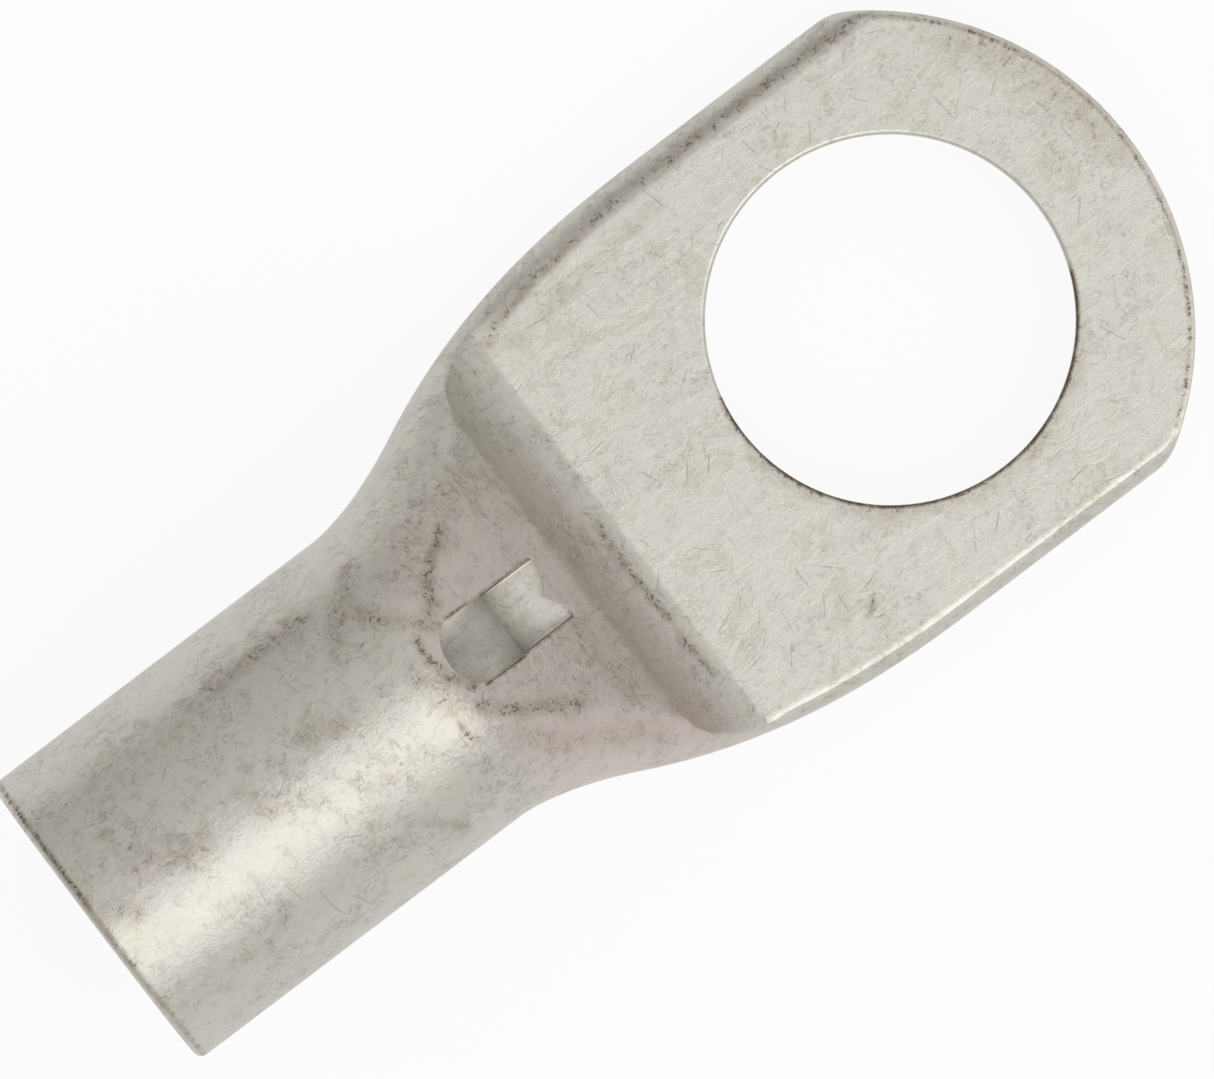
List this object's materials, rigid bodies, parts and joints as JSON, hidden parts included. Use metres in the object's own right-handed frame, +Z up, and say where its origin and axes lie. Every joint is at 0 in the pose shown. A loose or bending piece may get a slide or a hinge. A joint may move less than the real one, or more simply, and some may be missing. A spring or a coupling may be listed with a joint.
{
  "type": "ring terminal",
  "caption": "Tubular crimp terminal of tinned copper: round barrel for a bared conductor, pressed flat into a palm with one stud hole, with an inspection slot in the neck.",
  "frame": {"origin": "centre of the stud hole on the palm's underside", "axes": "+Z up out of the palm's top face along the stud, +X from the barrel towards the palm's tip, +Y to the left seen from the barrel"},
  "size_m": [0.0367, 0.016, 0.0097],
  "materials": {
    "tinned_copper": "satin electroplated tin over copper, lightly scuffed and spotted"
  },
  "bodies": {
    "root": {"terminal_body": "tinned_copper"}
  },
  "joints": []
}
